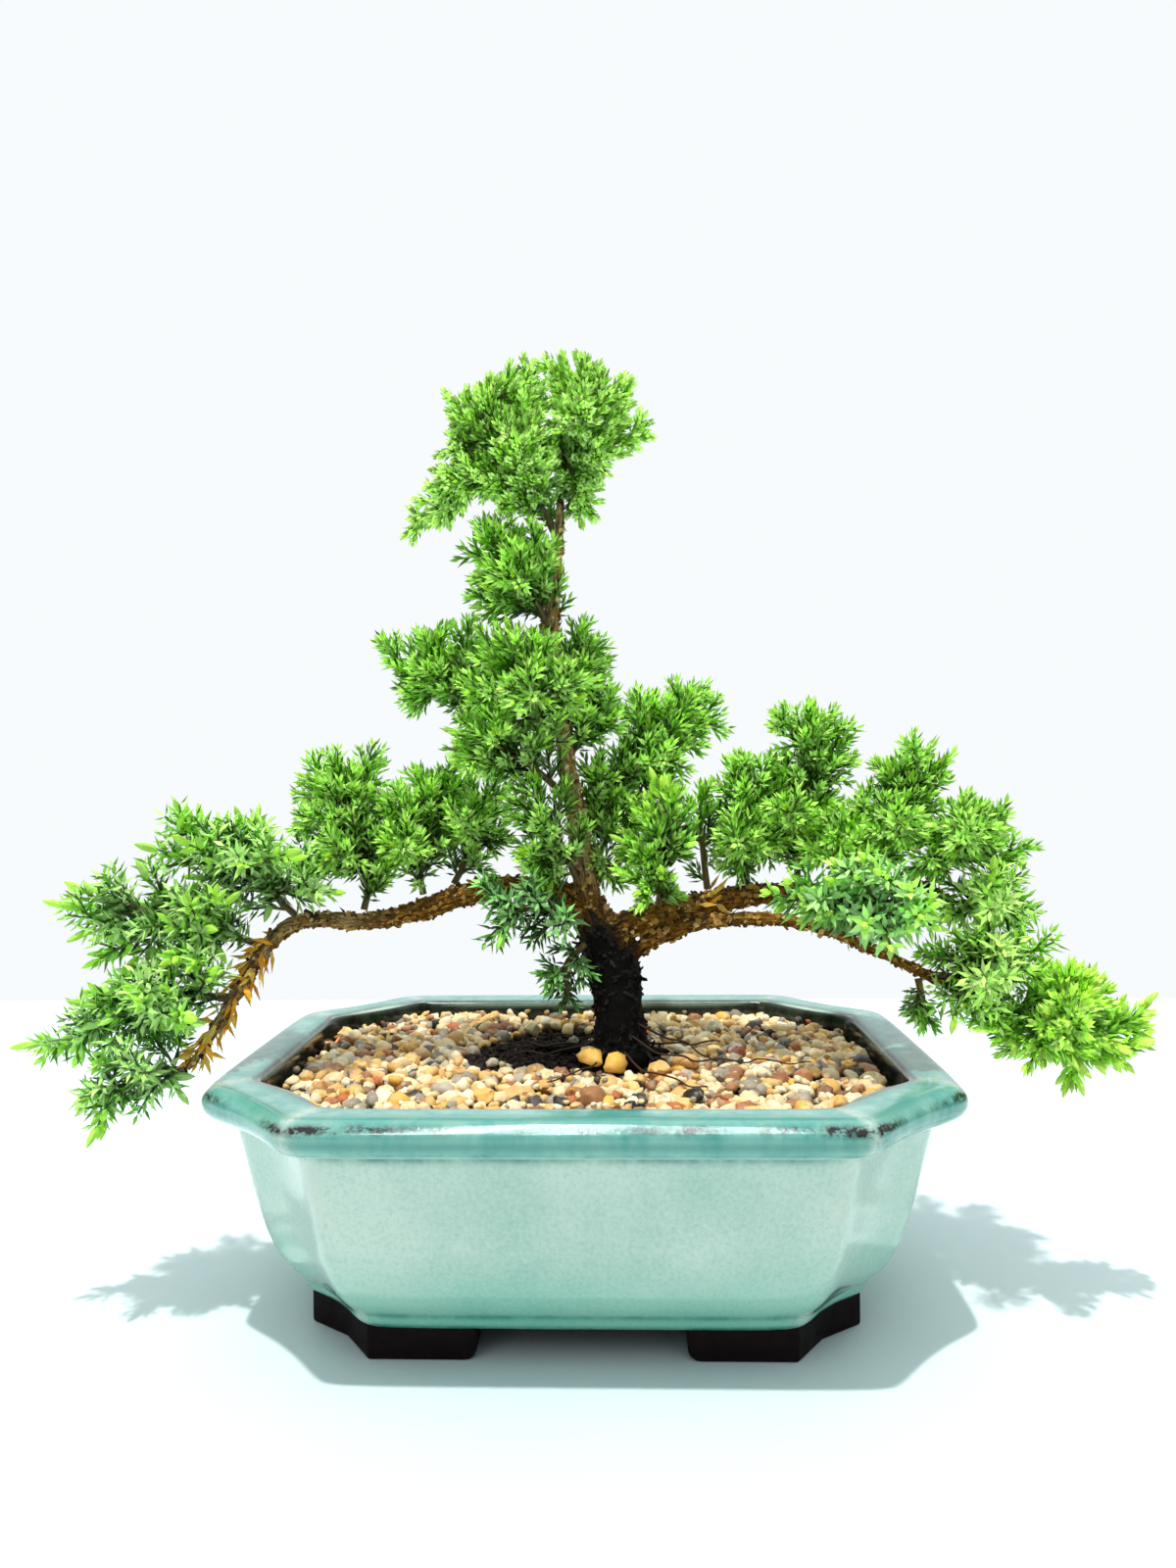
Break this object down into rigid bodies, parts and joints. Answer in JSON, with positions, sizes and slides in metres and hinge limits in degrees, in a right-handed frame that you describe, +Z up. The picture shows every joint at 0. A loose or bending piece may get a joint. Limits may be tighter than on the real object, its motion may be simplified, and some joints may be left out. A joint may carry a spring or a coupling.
{
  "type": "flaky juniper bonsai",
  "caption": "Juniper bonsai with flaky bark, a leaning crown and two long arching branches, in a glazed rectangular pot with cut corners, feet and gravel.",
  "frame": {"origin": "on the table under the centre of the pot's footprint", "axes": "+X to the right along the pot's long side as seen from the front, +Y towards the back, +Z up"},
  "size_m": [0.3183, 0.1554, 0.2782],
  "materials": {
    "glazed_pot": "mint celadon glaze, glossy, darker where it pools, bare brown clay on the feet",
    "screen_mesh": "black plastic mesh",
    "soil": "dark damp peaty soil",
    "gravel": "matt river pebbles, tan and cream with grey, brown and rust stones",
    "bark": "brown shredding bark, nearly black at the foot of the trunk",
    "crown_leaf": "fine pale green needles with a whitish band",
    "leaf": "mid green needles, slightly waxy",
    "blue_leaf": "longer bluish green needles with yellow-green growing tips",
    "young_leaf": "bright yellow-green young needles"
  },
  "bodies": {
    "root": {"pot": "glazed_pot", "drainage_screen_left": "screen_mesh", "drainage_screen_right": "screen_mesh", "soil": "soil", "gravel": "gravel", "wood": "bark", "spray_apex_left": "crown_leaf", "spray_apex_right": "crown_leaf", "spray_crown_under": "leaf", "spray_shelf_left": "leaf", "spray_shelf_centre": "leaf", "spray_shelf_right": "leaf", "spray_skirt_left": "leaf", "spray_skirt_right": "leaf", "spray_fan_right": "leaf", "spray_waist_left": "leaf", "spray_waist_right": "leaf", "spray_pad_outer": "leaf", "spray_pad_inner": "leaf", "spray_pad_right": "leaf", "spray_left_top": "blue_leaf", "spray_left_middle": "blue_leaf", "spray_left_lower": "blue_leaf", "spray_left_tip": "blue_leaf", "spray_front_left": "blue_leaf", "spray_front_hanging": "leaf", "spray_front_plume": "young_leaf", "spray_thin_shoot": "leaf", "spray_plume_left": "leaf", "spray_plume_right": "leaf", "spray_crest_inner": "leaf", "spray_crest_outer": "leaf", "spray_shoulder": "leaf", "spray_front_stars": "blue_leaf", "spray_crest_low": "leaf", "spray_right_inner": "leaf", "spray_right_tip": "young_leaf", "spray_hanging_right": "leaf"}
  },
  "joints": []
}
